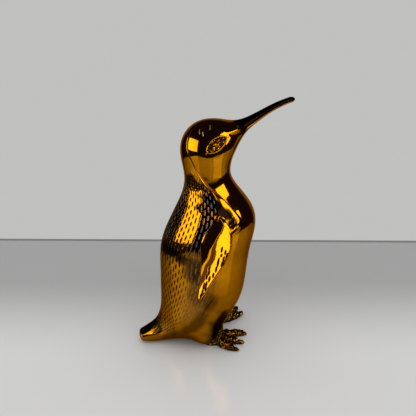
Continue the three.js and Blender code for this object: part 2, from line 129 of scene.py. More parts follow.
# The smooth trunk from the tail tip to the bill tip, as the castings have it: where each rib meets
# the outline of the back and of the front (x, z), its half width, and its lean towards the front.
STATIONS = np.array([
    (-80.5, 15.2, -79, 1.2, 8.5, 0.1), (-72.5, 20, -68, -0.3, 11, 0.15),  # tail
    (-62.6, 27, -54, 0.8, 15.8, 0.12), (-57.4, 39.5, -38, 2.6, 23.5, 0.08),  # rump
    (-56, 53, -17, 5.5, 33, 0.06), (-55.9, 69, 5.5, 12, 39.2, 0.04),  # low belly
    (-55.6, 86, 24.5, 29, 42.5, 0.04), (-55.6, 101, 39, 55, 45, 0.04),  # belly
    (-54.6, 117, 44.5, 84, 45.5, 0.04), (-50.4, 133.5, 48.8, 115, 45, 0.03),  # waist
    (-43, 150, 54.5, 141, 42.5, 0.02), (-35, 166, 51, 162, 36.4, 0),  # chest
    (-28.5, 181.5, 38, 180.5, 26.1, -0.02), (-26.2, 197, 27, 195.5, 23.8, -0.04),  # low neck
    (-28.3, 211, 24.6, 206.5, 24.5, 0.06), (-30.3, 225, 26.6, 216.5, 25.8, 0.02),  # nape
    (-27.8, 239.5, 30, 224.5, 25.3, 0.035), (-18.5, 252, 33, 230.5, 22.6, 0.06),  # cheek
    (-4, 258.6, 36, 235.8, 19.6, 0.05), (12, 259, 39.2, 240.6, 15.6, 0.03),  # brow
    (25.5, 257.2, 43, 244.8, 10.1, 0.02), (37, 258.4, 48, 249.2, 6.9, 0),  # gape
    (49, 262.9, 55.5, 254.8, 5.2, 0), (62.5, 269.4, 66, 262, 4.3, 0),  # bill
    (77.5, 276.2, 79.5, 269.4, 3.7, 0), (91, 280.9, 92.2, 274.6, 3.2, 0),  # bill end
])
GAPE = 20  # row where the bill starts
TAIL_CAP = 3.5
BILL_CAP = 6
WALL = 3
LINE_TAPER = 0.3  # share of a line's length at either end
THIGH_CENTRE = np.array([-6, 26, 15])
THIGH_SPREAD = np.array([17, 16, 20])
THIGH_PUSH = np.array([1, 6, -11])

middles = (STATIONS[:, :2] + STATIONS[:, 2:4]) / 2
station_at = np.r_[0, np.cumsum(np.hypot(*np.diff(middles, axis=0).T))]
TRUNK_END, BILL_JOINT = station_at[-1], station_at[GAPE]
station_curves = [natural_curve(station_at, column) for column in STATIONS.T]


def rib(t):
    """Middle, direction to the front, reach, half width and lean of the rib at a distance."""
    inside = np.clip(t, 0, TRUNK_END)
    back_x, back_z, front_x, front_z, half, lean = (curve(inside) for curve in station_curves)
    back, front = np.stack([back_x, back_z], -1), np.stack([front_x, front_z], -1)
    across = front - back
    size = np.linalg.norm(across, axis=-1)
    across = across / size[..., None]
    along = np.stack([-across[..., 1], across[..., 0]], -1)
    past = t - inside
    share = np.where(past < 0, past / TAIL_CAP, past / BILL_CAP)
    shrink = np.sqrt(np.maximum(0, 1 - share**2))
    middle = (back + front) / 2 + along * past[..., None]
    return middle, across, size / 2 * shrink, half * shrink, lean


def swell_thighs(points):
    moved = points.copy()
    for side in (-1, 1):
        flip = np.array([1, side, 1])
        reach = (((points - THIGH_CENTRE * flip) / THIGH_SPREAD) ** 2).sum(-1)
        moved += np.exp(-reach)[..., None] * THIGH_PUSH * flip
    return moved


def skin_point(t, angle, grow=0.0):
    """Point of the smooth trunk; angle is signed, 0 at the front and pi at the back."""
    middle, across, reach, half, lean = rib(t)
    out = (reach + grow) * np.cos(angle)
    y = (half + grow) * np.sin(angle) * (1 + lean * np.cos(angle))
    x = middle[..., 0] + across[..., 0] * out
    z = middle[..., 1] + across[..., 1] * out
    return swell_thighs(np.stack([x, y, z], -1))


def slopes_on_skin(t, angle, step_t=0.1, step_a=0.005):
    """Change of the skin's place per millimetre of distance and per radian."""
    along = (skin_point(t + step_t, angle) - skin_point(t - step_t, angle)) / (2 * step_t)
    around = (skin_point(t, angle + step_a) - skin_point(t, angle - step_a)) / (2 * step_a)
    return along, around


def skin_normal(t, angle):
    along, around = slopes_on_skin(t, angle, step_t=0.05, step_a=0.002)
    return unit(np.cross(around, along))


def local_radius(t):
    """Arc length of the skin per radian near the flank and back."""
    _, _, reach, half, _ = rib(t)
    return (reach + half) / 2


def flank_stand(x, z):
    """How far the skin at x, z stands off the middle plane, without the thigh."""
    halvings = 40
    low, high = np.zeros(x.shape), np.full(x.shape, BILL_JOINT)
    for _ in range(halvings):
        mid = (low + high) / 2
        middle, across, _, _, _ = rib(mid)
        ahead = -across[..., 1] * (x - middle[..., 0]) + across[..., 0] * (z - middle[..., 1])
        low, high = np.where(ahead > 0, mid, low), np.where(ahead > 0, high, mid)
    middle, across, reach, half, lean = rib(low)
    share = (across[..., 0] * (x - middle[..., 0]) + across[..., 1] * (z - middle[..., 1])) / reach
    angle = np.arccos(np.clip(share, -1, 1))
    return half * np.sin(angle) * (1 + lean * np.cos(angle))


def near_line(points, stops, side, count):
    """Distance to a smooth line on the skin through (distance, degrees) stops, the share of its
    length there, and a taper at its ends."""
    fine = np.linspace(0, len(stops) - 1, count)
    t, degrees = (natural_curve(np.arange(len(stops)), row)(fine) for row in np.transpose(stops))
    path = skin_point(t, side * np.radians(degrees))
    best = np.full(points.shape[:-1], 1e9)
    share = np.zeros(points.shape[:-1])
    for i in range(len(path) - 1):
        a, d = path[i], path[i + 1] - path[i]
        u = np.clip(((points - a) @ d) / (d @ d), 0, 1)
        gap = np.linalg.norm(points - a - u[..., None] * d, axis=-1)
        nearer = gap < best
        best = np.where(nearer, gap, best)
        share = np.where(nearer, (i + u) / (len(path) - 1), share)
    return best, share, ramp(np.minimum(share, 1 - share), 0, LINE_TAPER)


def in_side_frame(points, origin, tilt):
    """Coordinates on the side view: a along the tilted line, b across it."""
    x, z = points[..., 0] - origin[0], points[..., 2] - origin[1]
    return x * math.cos(tilt) + z * math.sin(tilt), z * math.cos(tilt) - x * math.sin(tilt)


# The frame's x = 0 is the middle of the bounding box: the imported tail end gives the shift.
TAIL_RING_AT, TAIL_RING_SIDES = 0.98, 36  # the casting's last ring before the tail's tip
ring_angles = np.arange(TAIL_RING_SIDES) * 2 * math.pi / TAIL_RING_SIDES
tail_ring = skin_point(np.full(TAIL_RING_SIDES, -TAIL_RING_AT * TAIL_CAP), ring_angles)
SHIFT_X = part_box("body_right_shell")[0].x / MM - tail_ring[:, 0].min()


def to_frame(points):
    return (points + [SHIFT_X, 0, 0]) * MM


# Meshes
def new_object(name, data):
    item = bpy.data.objects.new(name, data)
    bpy.context.collection.objects.link(item)
    return item


def make_piece(name, points, faces, nodes, normals, layers):
    """Mesh object from local millimetres, riding on the casting and standing for CAD nodes."""
    mesh = bpy.data.meshes.new(name)
    inside = np.clip(to_frame(points), *np.array(cad_box))
    mesh.from_pydata(inside.tolist(), [], faces)
    mesh.update()
    mesh.shade_smooth()
    for layer_name, values in layers.items():
        layer = mesh.attributes.new(layer_name, "FLOAT", "POINT")
        layer.data.foreach_set("value", np.asarray(values, np.float32))
    if normals is not None:
        mesh.normals_split_custom_set_from_vertices(normals.tolist())
    piece = new_object(name, mesh)
    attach(piece, "root")
    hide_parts(*nodes)
    return piece


def ring_object(name, rings, nodes, normals, layers):
    """Closed piece through rings of points, with a flat face over each end."""
    rows, cols = rings.shape[:2]
    points = rings.reshape(-1, 3)
    first, place = np.arange(rows - 1)[:, None] * cols, np.arange(cols)
    a, b = first + place, first + (place + 1) % cols
    faces = np.stack([a, b, b + cols, a + cols], -1).reshape(-1, 4).tolist()
    corners = points[np.array(faces)] - points.mean(0)
    turned_out = np.einsum("ij,ij->i", corners[:, 0], np.cross(corners[:, 1], corners[:, 2])).sum() > 0
    faces.append(list(range(cols))[::-1])
    faces.append(list(range((rows - 1) * cols, rows * cols)))
    if not turned_out:
        faces = [f[::-1] for f in faces]
    return make_piece(name, points, faces, nodes, normals, layers)


def tilted_normals(points, normals, height):
    """Normals of a grid of points after a relief of the given height is laid on it."""
    tu, tv = np.gradient(points, axis=0), np.gradient(points, axis=1)
    p, q = shares_along(tu, tv, np.gradient(height, axis=0), np.gradient(height, axis=1))
    return unit(normals - (p[..., None] * tu + q[..., None] * tv))


def rows_between(stops):
    """Distances from (start, step) stops to the last stop's start."""
    parts = [np.arange(a, b, step) for (a, step), (b, _) in zip(stops, stops[1:])]
    return np.r_[np.concatenate(parts), stops[-1][0]]


# Engraved feather strokes: columns of boat-shaped gouges down the coat, staggered from column to
# column. Above the waist a column keeps its place round the body; below, it swings to the tail.
COAT_BORDER = [
    (18, 104), (28, 97), (45, 101), (60, 97), (73, 91), (84, 89), (97, 86), (127, 86), (150, 96),
    (165, 100), (180, 100), (196, 96), (208, 100), (216, 104), (222, 110), (228, 117), (236, 126),
    (245, 134), (255, 146), (262, 152), (270, 160),
]  # distance along the bird and degrees round it from the front where the strokes end
COAT_START, COAT_STOP, WAIST_AT = 15, 240, 120
COAT_FADE = 25  # distance over which the strokes get shallow
COLUMNS_REACH = 100  # degrees from the middle of the back
COLUMN_GAP_LOW, COLUMN_GAP_HIGH = 3.8, 4.6  # round the waist, below it and above it
LOW_COLUMN_LENGTH, WALK = 150, 0.4  # how far the lower columns run, and the step along them
STROKE_PITCH = [(100, 9.6), (150, 9.4), (185, 8.4), (215, 7), (262, 6)]  # distance, mm
SLANT = [(5, 62), (20, 44), (45, 31), (70, 21), (95, 12), (115, 6)]  # height, degrees
STROKE_LENGTH = 0.76  # of the pitch
STROKE_WIDTH = 0.6  # of the gap between columns
FLANK_SLIMMING, SLIM_FROM, SLIM_TO = 0.45, 38, 63  # share lost, degrees from the back's middle
STROKE_DEPTH = 0.38
STROKE_NUDGE, STROKE_TILT = 0.35, 0.04  # random shift, mm, and turn
LENGTH_SPREAD, WIDTH_SPREAD = (0.85, 0.3), (0.9, 0.2)  # least share and random rest
STROKE_FLOOR = 0.25  # above the waist this share of a stroke stays flat at the surface
STROKE_SEED = 7


def step_on_skin(t, angle, way, length):
    """Step over the skin towards a direction in space: in distance, in angle and as a vector."""
    along, around = slopes_on_skin(t, angle)
    to_t, to_a = shares_along(along, around, (along * way).sum(-1), (around * way).sum(-1))
    step = along * to_t[..., None] + around * to_a[..., None]
    scale = length / np.linalg.norm(step, axis=-1)
    return to_t * scale, to_a * scale, step * scale[..., None]


def pitch_at(t):
    return float(read_table(STROKE_PITCH, t))


def low_stroke_way(points):
    """Direction of the strokes below the waist, up and forward in the side view."""
    slant = np.radians(read_table(SLANT, points[:, 2]))
    return np.stack([np.sin(slant), 0 * slant, np.cos(slant)], -1)


def columns_round(gap):
    """Numbers of the columns from the back's middle, and the turn from one to the next."""
    turn = gap / local_radius(WAIST_AT)
    count = int(math.radians(COLUMNS_REACH) / turn)
    return np.arange(-count, count + 1), turn


def high_stroke_places():
    """Distance, angle and column gap of every stroke above the waist, the same on both sides."""
    places = []
    columns, turn = columns_round(COLUMN_GAP_HIGH)
    for k in columns:
        t = WAIST_AT + (0.5 * pitch_at(0) if k % 2 else 0)
        while t < COAT_STOP:
            places.append((t, math.pi + k * turn, turn * local_radius(t)))
            t += pitch_at(t)
    return places


def low_stroke_places():
    """The same below the waist, found by walking down all columns at once."""
    places = []
    columns, turn = columns_round(COLUMN_GAP_LOW)
    pitch = pitch_at(0)
    stagger = np.where(columns % 2, 0.5 * pitch, 0)
    t = np.full(len(columns), float(WAIST_AT))
    angle = math.pi + columns * turn
    for i in range(int(LOW_COLUMN_LENGTH / WALK)):
        step_t, step_a, _ = step_on_skin(t, angle, -low_stroke_way(skin_point(t, angle)), WALK)
        t, angle = t + step_t, angle + step_a
        due = ((i + 1) * WALK + stagger) % pitch < WALK
        places += [(t[j], angle[j], COLUMN_GAP_LOW) for j in np.where(due & (t > COAT_START))[0]]
    return places


def feather_strokes():
    """Distance, degrees from the back's middle, centre, direction, length and width of strokes."""
    draw = np.random.default_rng(STROKE_SEED)
    strokes = []
    for t, angle, gap in high_stroke_places() + low_stroke_places():
        turned = math.degrees(angle) - 180
        nudge, tilt = draw.normal(0, STROKE_NUDGE), draw.normal(0, STROKE_TILT)
        long, wide = draw.random(2)
        border = read_table(COAT_BORDER, t)
        if not COAT_START < t < COAT_STOP or abs(turned) > 180 - border:
            continue
        place = np.array([t + nudge])
        angle = np.array([angle])
        centre = skin_point(place, angle)
        ahead, aside = slopes_on_skin(place, angle)
        way = ahead if t > WAIST_AT else low_stroke_way(centre)
        along = unit(step_on_skin(place, angle, way, 1)[2] + tilt * unit(aside))[0]
        length = pitch_at(t) * STROKE_LENGTH * (LENGTH_SPREAD[0] + LENGTH_SPREAD[1] * long)
        slim = 1 - FLANK_SLIMMING * float(ramp(abs(turned), SLIM_FROM, SLIM_TO))
        width = gap * STROKE_WIDTH * slim * (WIDTH_SPREAD[0] + WIDTH_SPREAD[1] * wide)
        strokes.append((float(place[0]), turned, centre[0], along, length, width))
    return strokes


def gouge(points, centre, along, normal, length, width):
    """Depth share, 0 to 1, of one boat-shaped stroke at each point."""
    hull, ends = 0.6, 0.25  # powers that shape the outline and the rise towards the ends
    rel = points - centre
    a = rel @ along
    b = np.linalg.norm(rel - a[..., None] * along - (rel @ normal)[..., None] * normal, axis=-1)
    long = np.clip(1 - (2 * a / length) ** 2, 0, 1)
    wide = long**hull * width / 2 + 1e-6
    return np.clip(1 - (b / wide) ** 2, 0, 1) * long**ends


def carve_strokes(t, angle, points, normals, side, strokes):
    """Depth share of all strokes on one skin grid, each cut on the few points round it."""
    cut = np.zeros(t.shape)
    reach_share, margin, margin_round = 0.9, 1, 1.5  # of the length, and millimetres
    row_t = t[:, 0]
    around = side * (np.degrees(np.abs(angle[0])) - 180)
    for place, turned, centre, along, length, width in strokes:
        rows = np.where(np.abs(row_t - place) < length * reach_share + margin)[0]
        reach = math.degrees((length / 2 + margin_round) / local_radius(place))
        cols = np.where(np.abs(around - turned) < reach)[0]
        if len(rows) < 2 or len(cols) < 2:
            continue
        patch = (slice(rows[0], rows[-1] + 1), slice(cols[0], cols[-1] + 1))
        normal = normals[patch][len(rows) // 2, len(cols) // 2]
        here = gouge(points[patch], centre, along, normal, length, width)
        cut[patch] = np.maximum(cut[patch], here)
    return cut


# Edge of the coat over the chest, from the nape to the shoulder, with a fine line at its foot
COAT_EDGE = np.array([  # distance, degrees from the front, rise, width of the rise, fall-off
    (158, 88, 0.2, 4, 8), (165, 79, 0.4, 4, 7), (171, 71, 0.5, 4, 6), (176, 65.5, 0.5, 4, 6),
    (181, 62, 0.5, 4, 6), (186, 62, 0.7, 3.6, 7), (192, 66, 1.2, 3, 9), (198, 71.5, 1.9, 2.4, 11),
    (203, 76.5, 2.4, 2, 13), (209, 83.5, 2.4, 1.8, 13), (214.5, 92.3, 1.8, 1.5, 12),
    (220, 102, 1.1, 1.3, 9), (227, 112.7, 0.6, 1.1, 5), (235, 121.8, 0.45, 0.9, 4),
    (244, 131, 0.4, 0.9, 4), (254, 142.5, 0.4, 0.9, 4), (262, 148.8, 0.35, 0.9, 4),
    (270, 154, 0.3, 0.9, 4), (276, 160, 0.0, 0.9, 4),
])
EDGE_FADE = 8  # at either end of the edge
FOOT_LINE_AT, FOOT_LINE_WIDTH, FOOT_LINE_DEPTH = -0.1, 0.45, 0.28
FOOT_LINE_FROM, FOOT_LINE_TO = 196, 216  # distance over which the line comes in


def behind_coat_edge(t, angle):
    """Distance over the skin behind the coat's edge, and the edge's rise, width and fall-off."""
    step = 0.5
    at, *columns = COAT_EDGE.T
    curves = [natural_curve(at, column) for column in columns]
    edge, rise, width, fall = (curve(np.clip(t, at[0], at[-1])) for curve in curves)
    ahead = curves[0](np.clip(t + step, at[0], at[-1]))
    radius = local_radius(t)
    tilt = np.sqrt(1 + (np.radians((ahead - edge) / step) * radius) ** 2)
    return np.radians(np.degrees(np.abs(angle)) - edge) * radius / tilt, rise, width, fall


def coat_edge(t, angle):
    """Height of the coat over the chest and the mask of the fine line at its foot."""
    off, rise, width, fall = behind_coat_edge(t, angle)
    start, end = COAT_EDGE[0, 0], COAT_EDGE[-1, 0]
    fade = ramp(t, start, start + EDGE_FADE) * ramp(t, end, end - EDGE_FADE)
    height = rise * ramp(off / width, 0, 1) * bell(np.maximum(0, off - width) / fall)
    line = bell((off - FOOT_LINE_AT) / FOOT_LINE_WIDTH) * ramp(t, FOOT_LINE_FROM, FOOT_LINE_TO)
    return fade * (height - FOOT_LINE_DEPTH * line), fade * line


# Shoulder: a hollow over the root of the flipper, and wrinkles where it meets the coat's edge
HOLLOW_AT, HOLLOW_DEPTH = (13.5, 163.5), 2.2
HOLLOW_REACH = (13, 9)  # down along it and across it
HOLLOW_LEAN = math.radians(35)
CRUMPLE_AT, CRUMPLE_REACH, CRUMPLE_DEPTH = (18.5, 152.5), 8.5, 0.35
CRUMPLE_SCALE, CRUMPLE_SEED = 6, 41


def armpit_hollow(points):
    across, down = in_side_frame(points, HOLLOW_AT, HOLLOW_LEAN)
    return HOLLOW_DEPTH * bell(down / HOLLOW_REACH[0]) * bell(across / HOLLOW_REACH[1])


def crumple(points):
    """Where the skin is wrinkled, 0 to 1, and the wrinkles' height share, -1 to 1."""
    x, z = points[..., 0] - CRUMPLE_AT[0], points[..., 2] - CRUMPLE_AT[1]
    return ramp(np.hypot(x, z) / CRUMPLE_REACH, 1, 0.5), wobble(points, CRUMPLE_SCALE, CRUMPLE_SEED)


# Eye: an almond hollow that gets deeper towards the brow, with lids, folds and a round ball
EYE_AT = (5.0, 234.6)
EYE_TILT = math.radians(33.6)
ALMOND_MIDDLE, ALMOND_HALF, ALMOND_POWER = -0.7, 12.8, 0.8
LID_UP, LID_DOWN = 6.2, 5.0
LID_WALL = 0.9
LID_RIM, LID_RIM_AT, LID_RIM_WIDTH = 0.3, -0.5, 0.55
SOCKET_DEPTH, SOCKET_SLOPE = 0.35, 0.17
FOLD_SCALE, FOLD_SEED, FOLD_HEIGHT, FOLD_FROM_LID = 4.2, 11, 0.3, 2.5
BALL_RADIUS, BALL_PROUD = 3.1, 0.3
# The socket's darkening is painted shade in the hollow.
EYE_SHADE, BRIGHT_FOLD_FROM, BRIGHT_FOLD_TO = 0.95, 0.35, 0.6


def eye_relief(points):
    """Height of the eye over the skin, and painted shade over the socket, which the ball and the high
    folds lack.
    """
    a, b = in_side_frame(points, EYE_AT, EYE_TILT)
    belly = np.clip(1 - ((a - ALMOND_MIDDLE) / ALMOND_HALF) ** 2, 0, 1) ** ALMOND_POWER
    to_corner = (ALMOND_HALF - np.abs(a - ALMOND_MIDDLE)) / 2
    inside = np.minimum(np.minimum(LID_UP * belly - b, b + LID_DOWN * belly), to_corner)
    open_eye = ramp(inside, 0, LID_WALL)
    floor_depth = SOCKET_DEPTH + SOCKET_SLOPE * (b + LID_DOWN * belly)
    folds = wobble(points, FOLD_SCALE, FOLD_SEED)
    height = open_eye * (FOLD_HEIGHT * folds * ramp(inside, 0, FOLD_FROM_LID) - floor_depth)
    height += LID_RIM * bell((inside - LID_RIM_AT) / LID_RIM_WIDTH)
    away = np.minimum(a * a + b * b, BALL_RADIUS**2)
    ball = BALL_PROUD - BALL_RADIUS + np.sqrt(BALL_RADIUS**2 - away)
    on_ball = (away < BALL_RADIUS**2) & (ball > height)
    painted_eye_shade = EYE_SHADE * open_eye * ~on_ball * ramp(folds, BRIGHT_FOLD_TO, BRIGHT_FOLD_FROM)
    return np.where(on_ball, ball, height), painted_eye_shade


# Head: a soft ridge from the corner of the eye into the bill, and shallow dents on the crown with
# painted highlights
BROW_PATH = [(279, 88), (284, 82.5), (289, 80.3), (294, 80.5), (300, 83)]  # distance, degrees
BROW_RISE, BROW_REACH = 2.2, 2.5
BROW_FROM, BROW_TO = (13, 27), (28, 32)  # along the eye's line, where the ridge rises and ends
CROWN_HIGHLIGHTS = [  # (distance, degrees) stops and half width of the painted highlights
    ([(275.8, 141.5), (272.5, 134), (269.8, 127.9)], 0.5),
    ([(274, 129.5), (271.8, 124), (269.2, 118.5)], 0.45),
    ([(282.4, 136), (281.6, 129.5), (279.2, 121.7), (275.8, 116.5)], 0.6),
]
MARK_DEPTH = 0.25


def brow_ridge(points, side):
    away, _, _ = near_line(points, BROW_PATH, side, 30)
    a, _ = in_side_frame(points, EYE_AT, EYE_TILT)
    rise = np.clip((a - BROW_FROM[0]) / (BROW_FROM[1] - BROW_FROM[0]), 0, 1)
    return BROW_RISE * rise * ramp(a, BROW_TO[1], BROW_TO[0]) * bell(away / BROW_REACH)


def painted_crown_highlights(points, side):
    total = np.zeros(points.shape[:-1])
    for stops, half in CROWN_HIGHLIGHTS:
        away, _, taper = near_line(points, stops, side, 16)
        total = np.maximum(total, taper * ramp(away, 1.5 * half, 0.5 * half))
    return total


# Tail and thigh: a soft ridge along the lower side of the tail, and a crease over the thigh
TAIL_RIDGE = [(-1, 100), (6, 101), (12, 101), (20, 99), (30, 95)]  # distance, degrees
TAIL_RIDGE_RISE, TAIL_RIDGE_REACH = 0.9, 5
THIGH_CREASE = [(104, 80.4), (99.7, 82.2), (92.7, 84.4), (84.3, 85.4), (76.9, 86.7), (69, 87.4)]
# The thigh's crease is darkened with painted shade.
CREASE_WIDTH, CREASE_DEPTH, CREASE_SHADE = 1, 0.7, 0.75


def tail_ridge(points, side):
    away, share, _ = near_line(points, TAIL_RIDGE, side, 24)
    return TAIL_RIDGE_RISE * ramp(share, 1, 0.5) * bell(away / TAIL_RIDGE_REACH)


def thigh_crease(points, side):
    away, _, taper = near_line(points, THIGH_CREASE, side, 24)
    return bell(away / CREASE_WIDTH) * taper


# All of the skin's relief: a height over the smooth trunk, and masks of what is dark, from stroke
# patina and painted shade, and of painted highlights
UNEVENNESS = [(0.10, 46, 3), (0.03, 17, 5)]  # height, scale and seed
LINE_STAIN = 0.8
LOW_FROM, LOW_TO = WAIST_AT + 10, WAIST_AT + 2  # from the strokes above the waist to those below it
GROOVE_DARK, LOW_GROOVE_LESS = (0.02, 0.27), 0.2  # depth shares where a stroke gets dark


def skin_relief(t, angle, points, normals, side, strokes):
    height = waves(points, UNEVENNESS)
    coat, line = coat_edge(t, angle)
    cut = carve_strokes(t, angle, points, normals, side, strokes)
    cut *= ramp(t, COAT_STOP, COAT_STOP - COAT_FADE)
    low = ramp(t, LOW_FROM, LOW_TO)
    flat = STROKE_FLOOR * (1 - low)
    carved = np.clip((cut - flat) / (1 - flat), 0, 1)
    wrinkled, wrinkles = crumple(points)
    height += coat - STROKE_DEPTH * carved - armpit_hollow(points)
    height += CRUMPLE_DEPTH * wrinkled * wrinkles
    groove_and_shade = np.maximum(ramp(cut - LOW_GROOVE_LESS * low, *GROOVE_DARK), LINE_STAIN * line)
    painted_highlight = np.zeros(t.shape)
    if points[..., 2].max() > EYE_AT[1]:
        eye, painted_eye_shade = eye_relief(points)
        painted_highlight = painted_crown_highlights(points, side)
        height += eye + brow_ridge(points, side) - MARK_DEPTH * painted_highlight
        groove_and_shade = np.maximum(groove_and_shade, painted_eye_shade)
    else:
        fold = thigh_crease(points, side)
        height += tail_ridge(points, side) - CREASE_DEPTH * fold
        groove_and_shade = np.maximum(groove_and_shade, CREASE_SHADE * fold)
    return height, groove_and_shade, painted_highlight


# Painted shade in soft spots where the brass mirrors dark surroundings, over a cloudy tarnish:
# distance, degrees from the front, reach along and round, strength
TARNISH_AND_SHADE_SPOTS = [
    (8, 180, 24, 74, 1.0), (19, 120, 9, 22, 0.8), (122, 112, 18, 18, 0.7), (98, 104, 18, 16, 0.4),
    (60, 84, 30, 12, 0.5), (38, 70, 20, 30, 0.5), (62, 20, 30, 44, 0.35), (262, 120, 16, 14, 0.25),
    (136, 178, 10, 62, 0.9), (133, 122, 10, 26, 0.8), (78, 47, 18, 23, 0.9), (178, 185, 39, 42, 0.95),
    (95, 84, 14, 12, 0.45), (66, 45, 13, 14, 0.7), (166, 110, 24, 13, 0.9),
]
SPOT_FLAT, SPOT_EDGE = 0.1, 1.2  # squared share of the reach at full strength and at none
RAGGED, RAGGED_SCALE, RAGGED_SEED = 0.25, 12, 33  # unevenness of the spots' edges
CLOUD, CLOUD_WAVES = 0.16, [(0.16, 46, 31), (0.07, 14, 32)]  # share; and height, scale, seed
CLOUD_FULL, CLOUD_END = 155, 175  # distance along the bird
# Painted shade in a strip behind the coat's edge, where the brass mirrors dark surroundings.
SHADE_STRIP_FROM, SHADE_STRIP_TO = (6, 7.5), (20, 16)  # strip behind the coat's edge, mm from the edge
SHADE_STRIP_START, SHADE_STRIP_STOP = (184, 189), (215, 209)  # distance along the bird


def tarnish_and_painted_shade(t, angle, points):
    total = np.zeros(t.shape)
    degrees = np.degrees(np.abs(angle))
    ragged = 1 + RAGGED * wobble(points, RAGGED_SCALE, RAGGED_SEED)
    for at, round_at, reach, reach_round, strength in TARNISH_AND_SHADE_SPOTS:
        off = (((t - at) / reach) ** 2 + ((degrees - round_at) / reach_round) ** 2) * ragged
        total = np.maximum(total, strength * ramp(off, SPOT_EDGE, SPOT_FLAT))
    wrinkled, wrinkles = crumple(points)
    off = behind_coat_edge(t, angle)[0]
    shade_strip = ramp(off, *SHADE_STRIP_FROM) * ramp(off, *SHADE_STRIP_TO) * ramp(t, *SHADE_STRIP_START) * ramp(t, *SHADE_STRIP_STOP)
    # Painted shade in the hollows of the shoulder's wrinkles, leaving only their crests bright.
    total = np.maximum(np.maximum(total, wrinkled * ramp(wrinkles, 0.8, 0.5)), shade_strip)
    cloud = CLOUD + waves(points, CLOUD_WAVES)
    return np.clip(total + cloud * ramp(t, CLOUD_END, CLOUD_FULL), 0, 1)


# Paler fill in the strokes on the flank and high on the middle of the back
FLANK_PALE = (132, 107)  # degrees where it begins and is full
DIMMER = [((125, 140), 0.4), ((205, 220), 0.6), ((75, 45), 0.7)]  # distances, share lost
CREASE_CLEAN = (84, 4, 108, 104)  # degrees, width and distances where the thigh's crease has none
BACK_PALE, BACK_PALE_DEGREES, BACK_PALE_AT = 0.4, (158, 166), (145, 155)
PALE_END = 250


def pale_fill_share(t, angle):
    degrees = np.degrees(np.abs(angle))
    middle, width, start, full = CREASE_CLEAN
    pale = ramp(degrees, *FLANK_PALE) * (1 - bell((degrees - middle) / width) * ramp(t, start, full))
    for between, loss in DIMMER:
        pale = pale * (1 - loss * ramp(t, *between))
    back = BACK_PALE * ramp(degrees, *BACK_PALE_DEGREES) * ramp(t, *BACK_PALE_AT)
    return np.where(t > PALE_END, 0, np.maximum(pale, back))


# Skins: each shell of the trunk as a body and a head piece, cut at the neck
NECK_SPLIT = 205.0
TAIL_CAP_ROWS = [0.995, 0.98, 0.94, 0.87, 0.76, 0.62, 0.45, 0.25, 0.1]
BODY_ROWS = [(0, 1.2), (16, 0.75), (NECK_SPLIT, 0)]  # start and step of the rows
HEAD_ROWS = [(NECK_SPLIT, 0.6), (256, 0.3), (291, 0.5), (BILL_JOINT, 0)]
BODY_COLUMNS = (340, 0.24, 72)  # count; share of them in the first degrees from the front
HEAD_COLUMNS = (300, 0.3, 60)
INNER_COLUMNS, INNER_START = 14, 0.5


def skin_columns(count, share, degrees):
    """Angles from front to back; the coat behind the flank gets most of them."""
    return np.interp(np.linspace(0, 1, count), [0, share, 1], np.radians([0, degrees, 180]))


def skin_piece(name, node, side, rows, cols, strokes):
    t, angle = np.meshgrid(rows, side * cols, indexing="ij")
    points = skin_point(t, angle)
    normals = skin_normal(t, angle)
    height, groove_and_shade, painted_highlight = skin_relief(t, angle, points, normals, side, strokes)
    skin = points + normals * height[..., None]
    skin[:, [0, -1], 1] = 0
    inner_cols = side * np.linspace(math.pi, 0, INNER_COLUMNS)
    inner_t, inner_angle = np.meshgrid(rows, inner_cols, indexing="ij")
    inner_t = np.maximum(inner_t, INNER_START)
    inside = skin_point(inner_t, inner_angle, -WALL)
    inside[..., 1] = side * np.maximum(side * inside[..., 1], 0)
    rings = np.concatenate([skin, inside], axis=1)
    shaded = [tilted_normals(points, normals, height), -skin_normal(inner_t, inner_angle)]
    shaded = np.concatenate(shaded, axis=1).reshape(-1, 3)
    hidden = np.zeros(inside.shape[:2])
    marks = {"groove_and_shade": groove_and_shade, "tarnish_and_shade": tarnish_and_painted_shade(t, angle, points),
             "pale_fill": pale_fill_share(t, angle), "painted_highlight": painted_highlight}
    layers = {key: np.concatenate([mark, hidden], axis=1).ravel() for key, mark in marks.items()}
    return ring_object(name, rings, [node], shaded, layers)


def make_skins():
    cap = -TAIL_CAP * np.array(TAIL_CAP_ROWS)
    parts = [("body", np.r_[cap, rows_between(BODY_ROWS)], skin_columns(*BODY_COLUMNS)),
             ("head", rows_between(HEAD_ROWS), skin_columns(*HEAD_COLUMNS))]
    strokes = feather_strokes()
    return [skin_piece(f"{word}_{part}_skin", f"body_{word}_shell", side, rows, cols, strokes)
            for side, word in ((-1, "right"), (1, "left")) for part, rows, cols in parts]


# Bill: a groove for the mouth, and painted shade on its top above it
BILL_STEP, BILL_COLUMNS = 0.5, 160
BILL_TIP_TURNS = np.linspace(0.08, 1.5, 14)
BILL_ROUNDING = 0.995
MOUTH_ANGLE, MOUTH_WIDTH, MOUTH_DEPTH = math.radians(58), math.radians(3.5), 0.6
MOUTH_FADE = (4, 5)  # at the root and at the tip
BILL_TOP_SHADE = (-0.1, 0.1)  # radians from the mouth line


